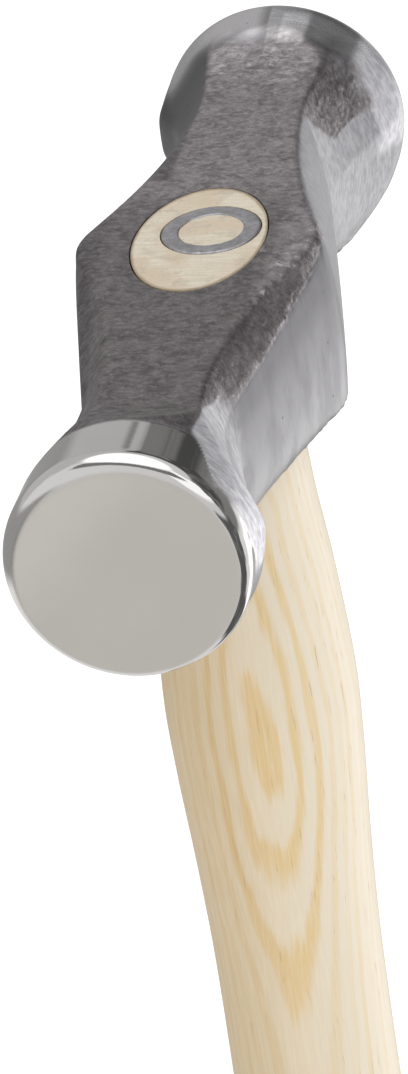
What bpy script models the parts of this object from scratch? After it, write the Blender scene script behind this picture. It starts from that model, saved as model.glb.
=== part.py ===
"""Double-faced metalworker's hammer: a forged head with two round flared faces, an ash handle
through its oval eye, and a steel ring wedge that spreads the handle's end.

Metres, +Z up. The origin is the middle of the handle's butt end. The handle rises along +Z, the
head lies along Y, and the flat striking face looks along -Y.
"""

import math

import bpy

MM = 0.001
GAP = 0.3 * MM

# Overall
TOOL_HEIGHT = 320.0 * MM
HEAD_HEIGHT = 27.6 * MM
HALF_HEIGHT = HEAD_HEIGHT / 2
HEAD_AXIS_Z = TOOL_HEIGHT - HALF_HEIGHT
UNDERSIDE_Z = TOOL_HEIGHT - HEAD_HEIGHT

# Forged middle of the head: pointed cheeks that narrow to an eight-sided neck at each end
CHEEK_HALF_WIDTH = 18.6 * MM
CHEEK_BOW = 1.2 * MM
CHEEK_BOW_CENTRE_Z = -2.0 * MM
NECK_HALF_WIDTH = 10.8 * MM
NECK_Y = 38.0 * MM
TOP_FACE_NECK_HALF_WIDTH = 7.0 * MM
TOP_FACE_LENGTH = 42.0 * MM
TOP_FACE_SWEEP = 1.8
CHAMFER_DROP = 5.6 * MM
UPPER_CHAMFER_SWEEP = 0.45
LOWER_CHAMFER_SWEEP = 1.0
FLARE_RADIUS = 16.5 * MM
FLARE_Y = 57.0 * MM
BODY_END_Y = 61.0 * MM
STATIONS_EACH_WAY = 14
SIDE_POINTS = 6

# Turned ends: a rounded face edge, a rim, and a hollow sweep down to the neck
RIM_RADIUS = 17.5 * MM
EDGE_WIDTH = 1.9 * MM
EDGE_DEPTH = 2.8 * MM
RIM_BACK_RADIUS = 17.1 * MM
SWEEP_BOTTOM_RADIUS = 12.8 * MM
FRONT_FACE_Y = 71.8 * MM
FRONT_RIM_LENGTH = 9.0 * MM
FRONT_SWEEP_ROUND = 16.0 * MM
REAR_EDGE_Y = 68.0 * MM
REAR_RIM_LENGTH = 4.0 * MM
REAR_SWEEP_ROUND = 24.0 * MM
REAR_CROWN = 1.4 * MM
TURNED_STEPS = 48

# Eye: an oval hole that is pinched halfway up, so that the wedged handle can't pull out
EYE_HALF_WIDTH = 9.7 * MM
EYE_HALF_DEPTH = 15.7 * MM
EYE_PINCH = 0.6 * MM
EYE_STEPS = 48

# Handle stations: height, half width, half depth, from the butt up to the shoulder under the head
GRIP_STATIONS = (
    (0.0 * MM, 13.0 * MM, 16.5 * MM),
    (38.0 * MM, 14.6 * MM, 18.2 * MM),
    (90.0 * MM, 14.2 * MM, 17.6 * MM),
    (150.0 * MM, 12.4 * MM, 15.6 * MM),
    (188.0 * MM, 11.95 * MM, 15.0 * MM),
    (246.0 * MM, 13.95 * MM, 17.0 * MM),
    (UNDERSIDE_Z - 7.0 * MM, 11.35 * MM, 16.3 * MM),
)
BUTT_ROUND = 3.0 * MM
SPAN_STEP = 11.0 * MM
HANDLE_OFFSET_X = -0.55 * MM
OFFSET_FADE_LENGTH = 20.0 * MM
HANDLE_POINTS = 40

# Ring wedge, driven into the handle's end a little off its middle
RING_RADIUS = 7.2 * MM
RING_WALL = 2.6 * MM
RING_EDGE = 0.6 * MM
RING_DEPTH = 14.0 * MM
RING_PROUD = 0.2 * MM
RING_X = 1.3 * MM
RING_Y = 2.6 * MM
RING_STEPS = 48


def clear_scene():
    for obj in list(bpy.data.objects):
        bpy.data.objects.remove(obj, do_unlink=True)


def new_collection(name):
    collection = bpy.data.collections.new(name)
    bpy.context.scene.collection.children.link(collection)
    return collection


def new_material(name, colour, roughness, metallic):
    material = bpy.data.materials.new(name)
    material.use_nodes = True
    shader = material.node_tree.nodes["Principled BSDF"]
    shader.inputs["Base Color"].default_value = (*colour, 1.0)
    shader.inputs["Roughness"].default_value = roughness
    shader.inputs["Metallic"].default_value = metallic
    return material


def new_object(name, points, edges, faces, collection):
    mesh = bpy.data.meshes.new(name)
    mesh.from_pydata(points, edges, faces)
    mesh.update()
    obj = bpy.data.objects.new(name, mesh)
    collection.objects.link(obj)
    return obj


def ease(share):
    """Takes 0 to 1 with a level start and a level end."""
    share = min(1.0, max(0.0, share))
    return share * share * (3 - 2 * share)


def mix(start, end, share):
    return start + (end - start) * share


def arc(centre, radius, start_deg, end_deg, steps):
    """Points on a circle from one angle to the other, both included."""
    angles = [math.radians(mix(start_deg, end_deg, i / steps)) for i in range(steps + 1)]
    return [(centre[0] + radius * math.cos(a), centre[1] + radius * math.sin(a)) for a in angles]


def loft(name, rings, collection):
    """A closed solid through rings of equal count, anticlockwise as seen from the last one's side."""
    count = len(rings[0])
    points = [point for ring in rings for point in ring]
    faces = [tuple(reversed(range(count)))]
    for level in range(len(rings) - 1):
        low = level * count
        high = low + count
        for i in range(count):
            after = (i + 1) % count
            faces.append((low + i, low + after, high + after, high + i))
    last = (len(rings) - 1) * count
    faces.append(tuple(last + i for i in range(count)))
    return new_object(name, points, [], faces, collection)


def turned(name, profile, steps, collection, closed=False):
    """A solid turned about the object's Z from (radius, height) points, its outer side top to bottom."""
    points = [(radius, 0.0, height) for radius, height in profile]
    edges = [(i, i + 1) for i in range(len(points) - 1)]
    if closed:
        edges.append((len(points) - 1, 0))
    obj = new_object(name, points, edges, [], collection)
    screw = obj.modifiers.new("Turn", "SCREW")
    screw.axis = "Z"
    screw.steps = steps
    screw.render_steps = steps
    screw.use_merge_vertices = True
    screw.merge_threshold = 0.01 * MM
    return obj


def combine(obj, other, operation):
    boolean = obj.modifiers.new(other.name, "BOOLEAN")
    boolean.operation = operation
    boolean.solver = "EXACT"
    boolean.object = other


def hide(helper):
    helper.hide_render = True
    helper.display_type = "WIRE"


def shade_round(obj, angle_deg):
    obj.data.shade_smooth()
    obj.data.set_sharp_from_angle(angle=math.radians(angle_deg))


def side_half_width(distance):
    """Half the head's width in plan at this distance from the eye, along the head."""
    if distance <= NECK_Y:
        return mix(CHEEK_HALF_WIDTH, NECK_HALF_WIDTH, distance / NECK_Y)
    return mix(NECK_HALF_WIDTH, FLARE_RADIUS, ease((distance - NECK_Y) / (FLARE_Y - NECK_Y)))


def top_face_half_width(distance):
    """Half the width of the flat top, which sweeps in from the points of the cheeks to the necks."""
    apex = CHEEK_HALF_WIDTH - CHEEK_BOW
    share = max(0.0, 1 - distance / TOP_FACE_LENGTH) ** TOP_FACE_SWEEP
    return mix(TOP_FACE_NECK_HALF_WIDTH, apex, share)


def within_flare(x, z):
    """How much to shrink a point of the neck, so that its flare stays inside the rim."""
    return min(1.0, FLARE_RADIUS / math.hypot(x, z))


def body_section(y):
    """The forged section at y: flat top and bottom, sloping chamfers, and bowed sides."""
    distance = abs(y)
    reach = min(1.0, distance / NECK_Y)
    side_top = HALF_HEIGHT - CHAMFER_DROP * reach**UPPER_CHAMFER_SWEEP
    side_bottom = -HALF_HEIGHT + CHAMFER_DROP * reach**LOWER_CHAMFER_SWEEP
    bow = CHEEK_BOW * (1 - reach)
    right = [(top_face_half_width(distance), HALF_HEIGHT)]
    for i in range(SIDE_POINTS):
        z = mix(side_top, side_bottom, i / (SIDE_POINTS - 1))
        away = (z - CHEEK_BOW_CENTRE_Z) / (HALF_HEIGHT - CHEEK_BOW_CENTRE_Z)
        right.append((side_half_width(distance) - bow * away * away, z))
    right.append((top_face_half_width(distance), -HALF_HEIGHT))
    if distance > NECK_Y:
        shrinks = [within_flare(x, z) for x, z in right]
        right = [(x * shrink, z * shrink) for (x, z), shrink in zip(right, shrinks)]
    left = [(-x, z) for x, z in reversed(right)]
    return [(x, y, z) for x, z in right + left]


def striking_end_profile(edge_y, crown, rim_length, sweep_round):
    """(radius, distance from the eye) of a striking end, from the middle of its face to its neck."""
    flat_radius = RIM_RADIUS - EDGE_WIDTH
    rim_y = edge_y - EDGE_DEPTH
    quarter = arc((0.0, 0.0), 1.0, 90, 0, 5)
    face_edge = [(flat_radius + EDGE_WIDTH * out, rim_y + EDGE_DEPTH * up) for out, up in quarter]
    face = [(0.0, edge_y + crown)]
    if crown:
        shares = (0.25, 0.5, 0.75)
        face += [(flat_radius * s, edge_y + crown * (1 - s * s)) for s in shares]
    rise = RIM_BACK_RADIUS - SWEEP_BOTTOM_RADIUS
    turn = math.acos(1 - rise / sweep_round)
    sweep_top_y = rim_y - rim_length
    centre = (SWEEP_BOTTOM_RADIUS + sweep_round, sweep_top_y - sweep_round * math.sin(turn))
    sweep = arc(centre, sweep_round, 180 - math.degrees(turn), 180, 6)
    return face + face_edge + sweep + [(0.0, sweep[-1][1])]


def make_striking_end(name, profile, toward, helpers):
    """A striking end on the head's axis. It looks along Y, in the direction given as 1 or -1."""
    end = turned(name, profile, TURNED_STEPS, helpers)
    end.location = (0, 0, HEAD_AXIS_Z)
    end.rotation_euler = (-toward * math.pi / 2, 0, 0)
    hide(end)
    return end


def eye_half_depth(z):
    """The eye's half length along the head at a height above the head's axis."""
    return EYE_HALF_DEPTH - EYE_PINCH * (1 - (z / HALF_HEIGHT) ** 2)


def make_eye_cutter(helpers):
    over = 2 * HALF_HEIGHT
    heights = [mix(HALF_HEIGHT, -HALF_HEIGHT, i / 6) for i in range(7)]
    profile = [(0.0, over), (EYE_HALF_DEPTH, over)]
    profile += [(eye_half_depth(z), z) for z in heights]
    profile += [(EYE_HALF_DEPTH, -over), (0.0, -over)]
    cutter = turned("eye_cutter", profile, EYE_STEPS, helpers)
    cutter.location = (0, 0, HEAD_AXIS_Z)
    cutter.scale = (EYE_HALF_WIDTH / EYE_HALF_DEPTH, 1, 1)
    hide(cutter)
    return cutter


def make_head(parts, helpers):
    steps = range(-STATIONS_EACH_WAY, STATIONS_EACH_WAY + 1)
    head = loft("head", [body_section(BODY_END_Y * k / STATIONS_EACH_WAY) for k in steps], parts)
    head.location = (0, 0, HEAD_AXIS_Z)
    front = striking_end_profile(FRONT_FACE_Y, 0.0, FRONT_RIM_LENGTH, FRONT_SWEEP_ROUND)
    rear = striking_end_profile(REAR_EDGE_Y, REAR_CROWN, REAR_RIM_LENGTH, REAR_SWEEP_ROUND)
    combine(head, make_striking_end("front_end", front, -1, helpers), "UNION")
    combine(head, make_striking_end("rear_end", rear, 1, helpers), "UNION")
    combine(head, make_eye_cutter(helpers), "DIFFERENCE")
    shade_round(head, 25)
    head.data.materials.append(new_material("forged_steel", (0.20, 0.19, 0.195), 0.5, 1.0))
    return head


def handle_size(z):
    """The handle's half width and half depth at this height."""
    if z >= UNDERSIDE_Z - GAP:
        depth = eye_half_depth(max(z, UNDERSIDE_Z) - HEAD_AXIS_Z)
        return depth * EYE_HALF_WIDTH / EYE_HALF_DEPTH - GAP, depth - GAP
    shoulder = (UNDERSIDE_Z - GAP, *handle_size(UNDERSIDE_Z - GAP))
    stations = [*GRIP_STATIONS, shoulder]
    low, high = next((a, b) for a, b in zip(stations, stations[1:]) if z <= b[0])
    share = ease((z - low[0]) / (high[0] - low[0]))
    return mix(low[1], high[1], share), mix(low[2], high[2], share)


def handle_heights():
    """Heights of the handle's rings above its rounded butt: closer where it changes fast."""
    ends = [BUTT_ROUND] + [station[0] for station in GRIP_STATIONS[1:]]
    ends += [UNDERSIDE_Z - GAP, UNDERSIDE_Z, TOOL_HEIGHT]
    heights = []
    for low, high in zip(ends, ends[1:]):
        steps = max(1, math.ceil((high - low) / SPAN_STEP))
        if low < UNDERSIDE_Z and high > UNDERSIDE_Z - 2 * GAP:
            steps = 3 if high - low > GAP * 2 else 1
        heights += [mix(low, high, i / steps) for i in range(1, steps + 1)]
    return heights


def handle_ring(z, inset=0.0):
    """The oval section at this height, drawn in all round by the inset."""
    half_width, half_depth = handle_size(z)
    fade = ease((z - UNDERSIDE_Z + OFFSET_FADE_LENGTH) / OFFSET_FADE_LENGTH)
    centre_x = HANDLE_OFFSET_X * (1 - fade)
    angles = [2 * math.pi * i / HANDLE_POINTS for i in range(HANDLE_POINTS)]
    across = [centre_x + (half_width - inset) * math.cos(a) for a in angles]
    along = [(half_depth - inset) * math.sin(a) for a in angles]
    return [(x, y, z) for x, y in zip(across, along)]


def make_handle(parts, groove):
    butt = arc((0.0, BUTT_ROUND), BUTT_ROUND, -90, 0, 4)
    rings = [handle_ring(z, BUTT_ROUND - out) for out, z in butt]
    rings += [handle_ring(z) for z in handle_heights()]
    handle = loft("handle", rings, parts)
    combine(handle, groove, "DIFFERENCE")
    shade_round(handle, 40)
    handle.data.materials.append(new_material("ash_wood", (0.80, 0.68, 0.48), 0.45, 0.0))
    return handle


def ring_profile(clearance, proud):
    """The wedge's section, straight outside and tapered inside, grown by a clearance."""
    outer = RING_RADIUS + clearance
    inner_top = RING_RADIUS - RING_WALL - clearance
    inner_bottom = RING_RADIUS - RING_EDGE - clearance
    bottom = -RING_DEPTH - clearance
    return [(outer, proud), (outer, bottom), (inner_bottom, bottom), (inner_top, proud)]


def place_ring(ring):
    ring.location = (RING_X, RING_Y, TOOL_HEIGHT)


def make_ring_groove(helpers):
    groove = turned("ring_groove_cutter", ring_profile(GAP, 2 * MM), RING_STEPS, helpers, closed=True)
    place_ring(groove)
    hide(groove)
    return groove


def make_ring_wedge(parts):
    ring = turned("ring_wedge", ring_profile(0.0, RING_PROUD), RING_STEPS, parts, closed=True)
    place_ring(ring)
    ring.data.materials.append(new_material("wedge_steel", (0.42, 0.42, 0.43), 0.45, 1.0))
    return ring


def main():
    clear_scene()
    parts = new_collection("double_faced_hammer")
    helpers = new_collection("cutters")
    helpers.hide_render = True
    root = bpy.data.objects.new("hammer", None)
    parts.objects.link(root)
    pieces = [
        make_head(parts, helpers),
        make_handle(parts, make_ring_groove(helpers)),
        make_ring_wedge(parts),
    ]
    for piece in pieces:
        piece.parent = root


main()
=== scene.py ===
"""Looks for the double-faced hammer: its head, handle and ring wedge as finely shaped pieces with
procedural materials, on a plain pale floor in soft studio light.

Shapes are worked out in millimetres from the middle of the eye, on the head's axis, and are put in
place in metres. Angles round the head are measured from straight up towards +X. "Front" is the
flat striking face, towards -Y.
"""

import math

import bmesh
import bpy
import numpy as np
from mathutils import Matrix, Vector, noise


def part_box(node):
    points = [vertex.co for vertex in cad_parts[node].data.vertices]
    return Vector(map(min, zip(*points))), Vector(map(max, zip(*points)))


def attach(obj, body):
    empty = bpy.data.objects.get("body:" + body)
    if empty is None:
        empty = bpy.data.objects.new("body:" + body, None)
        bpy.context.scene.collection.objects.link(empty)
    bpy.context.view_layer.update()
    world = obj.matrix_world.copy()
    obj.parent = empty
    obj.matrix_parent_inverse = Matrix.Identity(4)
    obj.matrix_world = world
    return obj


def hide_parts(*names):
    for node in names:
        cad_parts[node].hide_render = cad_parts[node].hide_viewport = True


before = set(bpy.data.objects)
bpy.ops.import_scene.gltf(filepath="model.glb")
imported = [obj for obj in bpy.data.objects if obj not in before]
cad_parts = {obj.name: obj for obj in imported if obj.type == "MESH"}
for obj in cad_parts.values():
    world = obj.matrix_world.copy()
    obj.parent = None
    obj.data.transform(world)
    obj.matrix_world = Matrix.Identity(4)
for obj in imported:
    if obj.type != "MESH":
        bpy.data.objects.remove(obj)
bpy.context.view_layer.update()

MM = 0.001

# Sizes read from the frame, in millimetres
HEAD_LOW, HEAD_HIGH = (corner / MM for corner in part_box("head"))
HANDLE_LOW, HANDLE_HIGH = (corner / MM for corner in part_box("handle"))
RING_LOW, RING_HIGH = (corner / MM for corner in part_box("ring_wedge"))
AXIS_Z = (HEAD_LOW.z + HEAD_HIGH.z) / 2
AXIS_PLACE = Vector((0, 0, AXIS_Z))
HALF_HEIGHT = HANDLE_HIGH.z - AXIS_Z
RIM_RADIUS = (HEAD_HIGH.z - HEAD_LOW.z) / 2
CHEEK_HALF_WIDTH = (HEAD_HIGH.x - HEAD_LOW.x) / 2
FRONT_LENGTH = -HEAD_LOW.y
REAR_LENGTH = HEAD_HIGH.y
RING_RADIUS = (RING_HIGH.x - RING_LOW.x) / 2
RING_X = (RING_HIGH.x + RING_LOW.x) / 2
RING_Y = (RING_HIGH.y + RING_LOW.y) / 2
RING_PROUD = RING_HIGH.z - HANDLE_HIGH.z
RING_DEPTH = HANDLE_HIGH.z - RING_LOW.z

# Forged middle of the head. "Left" is -X and "right" is +X. Each softness is the distance over
# which two surfaces are blended where they meet.
RIDGE_SOFTNESS = 1.6
LEFT_CHEEK_BOW = 0.6
RIGHT_CHEEK_BOW = 1.2
CHEEK_BOW_CENTRE_Z = -2.0
NECK_HALF_WIDTH = 10.8
NECK_LENGTH = 38.0
LEFT_NECK_FLAT = 7.0
RIGHT_NECK_FLAT = 8.3
TOP_FACE_LENGTH = 42.0
TOP_FACE_SWEEP = 1.9
CHAMFER_DROP = 5.6
LEAST_CHAMFER = 0.35
UPPER_CHAMFER_SWEEP = 0.45
LOWER_CHAMFER_SWEEP = 1.0
EDGE_SOFTNESS = 0.7
APEX_EDGE_SOFTNESS = 1.2
LOWER_EDGE_SOFTNESS = 2.8
BLENDED_SOFTNESS = 5.0

# Round ends. The edge is the rounding between the face and the rim; it grows by WIDER_EDGE on the
# side of the front end that looks at WIDER_EDGE_DEG.
REAR_CROWN = 1.4
EDGE_WIDTH = 1.9
EDGE_DEPTH = 2.8
WIDER_EDGE = 1.15
WIDER_EDGE_DEG = -20.0
RIM_TAPER = 0.4
RIM_SOFTNESS = 0.35
FRONT_BULGE = 0.7
REAR_LEFT_BULGE = 0.9
REAR_RIGHT_BULGE = 1.0

# Each end's flare: (start, end, power) of the top's rise, the chamfers' and the sides', as
# distances from the eye along the head
FRONT = {
    "length": FRONT_LENGTH, "rim_back": 59.5,
    "top": (46.0, 59.5, 2.0), "chamfer": (44.0, 59.5, 1.8), "side": (39.5, 55.0, 1.35),
}
REAR = {
    "length": REAR_LENGTH - REAR_CROWN, "rim_back": 61.8,
    "top": (45.0, 62.0, 1.9), "chamfer": (43.0, 62.0, 1.7), "side": (40.0, 61.0, 1.4),
}
CHAMFER_FLARE = 3.6
FRONT_LEFT_CHAMFER = (51.0, 61.0, 1.6)

# Eye and handle
EYE_HALF_WIDTH = 9.7
EYE_HALF_DEPTH = 15.7
EYE_PINCH = 0.6
EYE_MOUTH_FLARE = 0.12
EYE_MOUTH_DEPTH = 0.7
FIT_GAP = 0.12
SHOULDER_DROP = 0.3
BUTT_ROUND = 3.0
BUTT_ROWS = 8
TENON_ROWS = 25
GRIP_CLOSER_FROM = (-130.0, -24.0)
GRIP_SPACINGS = (2.4, 1.3, 0.5)
HANDLE_OFFSET_X = -0.55
OFFSET_FADE_LENGTH = 20.0
# Distance below the head's axis, half width and half depth of the grip, from the shoulder down
GRIP_STATIONS = (
    (14.1, 9.2, 15.2), (17.0, 9.95, 15.9), (20.8, 10.65, 16.3), (28.8, 11.55, 16.5),
    (38.0, 12.6, 16.7), (47.0, 13.35, 16.9), (60.0, 13.95, 17.0), (69.0, 13.65, 16.8), (85.0, 12.7, 16.1),
    (98.0, 12.15, 15.4), (118.0, 11.95, 15.0), (156.0, 12.45, 15.6), (216.0, 14.2, 17.6),
    (268.0, 14.6, 18.2), (306.2, 13.0, 16.5),
)

# Ring wedge
RING_WALL = 2.6
RING_EDGE = 0.6
RING_TOP_ROUND = 0.35
RING_FIT = 0.16
RING_UNEVENNESS = 0.012
GROOVE_REACH = 2.0

# Meshes: columns round each piece, how much the head's crowd towards its top, rows across its faces
# and edges, and the angles in degrees beyond which edges stay sharp
HEAD_COLUMNS = 256
TOP_CROWDING = 0.35
FACE_ROWS = 14
EDGE_ROWS = 12
HANDLE_COLUMNS = 144
RING_COLUMNS = 144
EYE_COLUMNS = 160
EYE_ROWS = 61
EYE_CUTTER_REACH = 3.0
SHORTEST_EDGE = 0.001
HEAD_SHARP_DEG = 38
HANDLE_SHARP_DEG = 35
RING_SHARP_DEG = 50

# Where the head is ground, polished and brushed: distances from the eye along it, and angles in
# degrees round it
FLARE_GROUND_FROM = 58.5
PATCH_GROUND_FROM = 35.5
PATCH_ANGLE_AT_NECK = 40.0
PATCH_ANGLE_AT_FLARE = 33.0
BRUSHED_ANGLE_AT_RIM = 37.0
POLISH_FROM = 59.3
POLISH_RETREAT = 8.0
REAR_FACE_FROM = 66.6
CORNER_TOP = (38.0, 33.0)
CORNER_TIP = (46.0, 64.0)

# Painted light and shade on the head, on any finish, on ground steel and on scale: angles from and
# to and their softness, distances from and to and their softness, and the change of brightness
PAINTED_LIGHT_AND_SHADE_PATCHES = (
    # Painted shade on the rear end's -X flank, deeper lower down
    (-110, -30, 4, 20, 59, 2, -0.42),
    (-110, -76, 12, 30, 60, 3, -0.16),
    # Painted highlight on the rear rim's top
    (8, 19, 1.5, 57.8, 63.5, 1.0, 0.45),
    # Painted dark reflection on the rear rim's upper +X side
    (22, 44, 4, 57.5, 67.0, 1.5, -0.40),
)
# Painted light on the rear rim's +X side
GROUND_PAINTED_LIGHT_PATCHES = ((52, 100, 8, 59, 66, 2, 0.75),)
SCALE_PAINTED_LIGHT_AND_SHADE_PATCHES = (
    # Painted light on the scale along the upper +X chamfer
    (44, 60, 8, -48, 6, 6, 0.60),
    # Painted shade on the -X chamfer of the front half
    (-66, -48, 5, -56, 0, 5, -0.20),
)


# Curves and small helpers


def ease(share):
    """Takes 0 to 1 with a level start and a level end."""
    share = np.clip(share, 0.0, 1.0)
    return share * share * (3 - 2 * share)


def band(value, start, end):
    """0 before start and 1 after end, eased between."""
    return ease((value - start) / (end - start))


def rise(value, start, end, power):
    """0 before start, 1 at end, and growing on past it."""
    return np.maximum(0.0, (value - start) / (end - start)) ** power


def within(value, start, end, soft):
    """1 from start to end, easing to 0 outside them."""
    return band(value, start - soft, start) * (1 - band(value, end, end + soft))


def mix(low, high, share):
    """From low at share 0 to high at share 1."""
    return low + (high - low) * share


def soft_abs(value, softness):
    """The value without its sign, rounded over near 0."""
    return np.sqrt(value * value + softness * softness) - softness


def soft_min(first, second, softness):
    """The smaller of two, rounded over where they are close."""
    share = np.clip(0.5 + 0.5 * (second - first) / softness, 0.0, 1.0)
    return mix(second, first, share) - softness * share * (1 - share)


def spaced(start, end, step):
    """Even steps no longer than the one given, without the end itself."""
    count = max(1, math.ceil(abs(end - start) / step))
    return [mix(start, end, i / count) for i in range(count)]


def steps(count):
    """0 to 1 in equal steps, both included."""
    return [i / count for i in range(count + 1)]


def noise_at(points, scale, offset=0.0):
    """Perlin noise, about -1 to 1, at each point."""
    shift = Vector((offset, offset, offset))
    return np.array([noise.noise(Vector(point) * scale + shift) for point in points])


def add_object(name, data):
    """A new object in the scene."""
    made = bpy.data.objects.new(name, data)
    bpy.context.scene.collection.objects.link(made)
    return made


def new_piece(name, points, faces, cad_node):
    """A piece in place of a CAD node, from points in millimetres from the middle of the eye."""
    placed = (np.asarray(points) + (0, 0, AXIS_Z)) * MM
    mesh = bpy.data.meshes.new(name)
    mesh.from_pydata(placed.tolist(), [], faces)
    mesh.update()
    piece = add_object(name, mesh)
    if cad_node:
        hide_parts(cad_node)
        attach(piece, "root")
    return piece


def grid_faces(rows, columns):
    """Quads between rows of points, closed round the columns."""
    faces = []
    for row in range(rows - 1):
        low = row * columns
        high = low + columns
        for i in range(columns):
            after = (i + 1) % columns
            faces.append((low + i, low + after, high + after, high + i))
    return faces


def cap_faces(first, columns, pole, turned_round):
    """A fan from a pole to a row of points."""
    faces = []
    for i in range(columns):
        after = (i + 1) % columns
        pair = (first + after, first + i) if turned_round else (first + i, first + after)
        faces.append((pole, *pair))
    return faces


def points_of(piece):
    """The piece's points in millimetres from the middle of the eye."""
    flat = np.empty(len(piece.data.vertices) * 3)
    piece.data.vertices.foreach_get("co", flat)
    return flat.reshape(-1, 3) / MM - (0, 0, AXIS_Z)


def normals_of(piece):
    """The piece's outward direction at each point."""
    flat = np.empty(len(piece.data.vertices) * 3)
    piece.data.vertices.foreach_get("normal", flat)
    return flat.reshape(-1, 3)


def set_points(piece, points):
    """Moves the piece's points to places in millimetres from the middle of the eye."""
    placed = (points + (0, 0, AXIS_Z)) * MM
    piece.data.vertices.foreach_set("co", placed.ravel())
    piece.data.update()


def set_mask(piece, name, values):
    """Stores a number per point for the material to read."""
    attribute = piece.data.attributes.new(name, "FLOAT", "POINT")
    attribute.data.foreach_set("value", np.asarray(values, dtype=np.float32))


def cut(piece, cutter):
    """Takes the cutter away from the piece, for good, and clears the slivers that this leaves."""
    boolean = piece.modifiers.new("Cut", "BOOLEAN")
    boolean.operation = "DIFFERENCE"
    boolean.solver = "EXACT"
    boolean.object = cutter
    graph = bpy.context.evaluated_depsgraph_get()
    made = bpy.data.meshes.new_from_object(piece.evaluated_get(graph))
    shape = bmesh.new()
    shape.from_mesh(made)
    bmesh.ops.dissolve_degenerate(shape, dist=SHORTEST_EDGE * MM, edges=shape.edges)
    shape.to_mesh(made)
    shape.free()
    piece.modifiers.clear()
    piece.data = made
    bpy.data.objects.remove(cutter, do_unlink=True)


def shade(piece, angle_deg):
    """Shades the piece smoothly, but for edges sharper than the angle."""
    piece.data.shade_smooth()
    piece.data.set_sharp_from_angle(angle=math.radians(angle_deg))


# Head


def end_value(y, key, index=None):
    """A value of the front end where y is negative, and of the rear end elsewhere."""
    front = FRONT[key] if index is None else FRONT[key][index]
    rear = REAR[key] if index is None else REAR[key][index]
    return np.where(y < 0, front, rear)


def flare(y, part):
    """How far a part of the round end has risen: 0 at the neck, 1 at the rim."""
    start, end, power = (end_value(y, part, index) for index in range(3))
    return rise(np.abs(y), start, end, power)


def chamfer_flare(angle, y):
    """The chamfers' flare, which comes later on the front end's -X side."""
    later = rise(abs(y), *FRONT_LEFT_CHAMFER)
    return CHAMFER_FLARE * np.where((y < 0) & (angle < 0), later, flare(y, "chamfer"))


def front_bulge(angle, y):
    """The ground +X side of the front end stands a little proud of its rim."""
    return FRONT_BULGE * (y < 0) * within(np.degrees(angle), 90, 120, 32) * (1 - band(-y, 62.5, 67.0))


def rear_bulge(angle, y):
    """The rear end is fuller on its -X side, and below on its +X side."""
    degrees = np.degrees(angle)
    left = within(degrees, -118, -85, 28) * band(y, 50, 60) * (1 - band(y, 62, 67))
    right = within(degrees, 134, 150, 36) * band(y, 40, 60) * (1 - band(y, 62, 68))
    return REAR_LEFT_BULGE * left + REAR_RIGHT_BULGE * right


def rim_radius(angle, y):
    """The round end's radius: a slightly tapered rim with a rounded face edge."""
    distance = np.abs(y)
    edge_start = end_value(y, "length") - EDGE_DEPTH
    taper = (edge_start - distance) / (edge_start - end_value(y, "rim_back"))
    over = np.clip((distance - edge_start) / EDGE_DEPTH, 0, 1)
    radius = RIM_RADIUS - RIM_TAPER * np.clip(taper, 0, 1.0) + front_bulge(angle, y)
    behind_neck = np.maximum(0.0, NECK_LENGTH - distance)
    wider = np.maximum(0.0, np.cos(angle - math.radians(WIDER_EDGE_DEG))) ** 1.2
    edge_width = EDGE_WIDTH + WIDER_EDGE * np.where(y < 0, wider, 0.0)
    return radius - edge_width * (1 - np.sqrt(1 - over * over)) + behind_neck / 2


def flat_distance(angle, y):
    """From the axis to the flat top or bottom."""
    height = HALF_HEIGHT + (RIM_RADIUS - HALF_HEIGHT) * flare(y, "top")
    return height / np.maximum(np.abs(np.cos(angle)), 1e-4)


def cheek_bow(angle):
    """How far a side's middle stands out from its top edge."""
    return np.where(angle < 0, LEFT_CHEEK_BOW, RIGHT_CHEEK_BOW)


def side_distance(angle, y):
    """From the axis to the bowed side."""
    across = np.maximum(np.abs(np.sin(angle)), 1e-4)
    reach = np.clip(soft_abs(y, RIDGE_SOFTNESS) / NECK_LENGTH, 0, 1)
    side_x = mix(CHEEK_HALF_WIDTH, NECK_HALF_WIDTH, reach)
    side_x = side_x + (RIM_RADIUS - NECK_HALF_WIDTH) * flare(y, "side")
    bow = cheek_bow(angle) * (1 - reach) / (HALF_HEIGHT - CHEEK_BOW_CENTRE_Z) ** 2
    side = side_x / across
    for _ in range(6):
        z = np.clip(side * np.cos(angle), -HALF_HEIGHT, HALF_HEIGHT)
        side = (side_x - bow * (z - CHEEK_BOW_CENTRE_Z) ** 2) / across
    return side


def top_face_half_width(angle, y):
    """From the middle of the flat top to its edge, which narrows from the ridge to the neck."""
    share = np.clip(1 - np.abs(y) / TOP_FACE_LENGTH, 0, 1) ** TOP_FACE_SWEEP
    neck = np.where(angle < 0, LEFT_NECK_FLAT, RIGHT_NECK_FLAT)
    return mix(neck, CHEEK_HALF_WIDTH - cheek_bow(angle), share)


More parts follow.
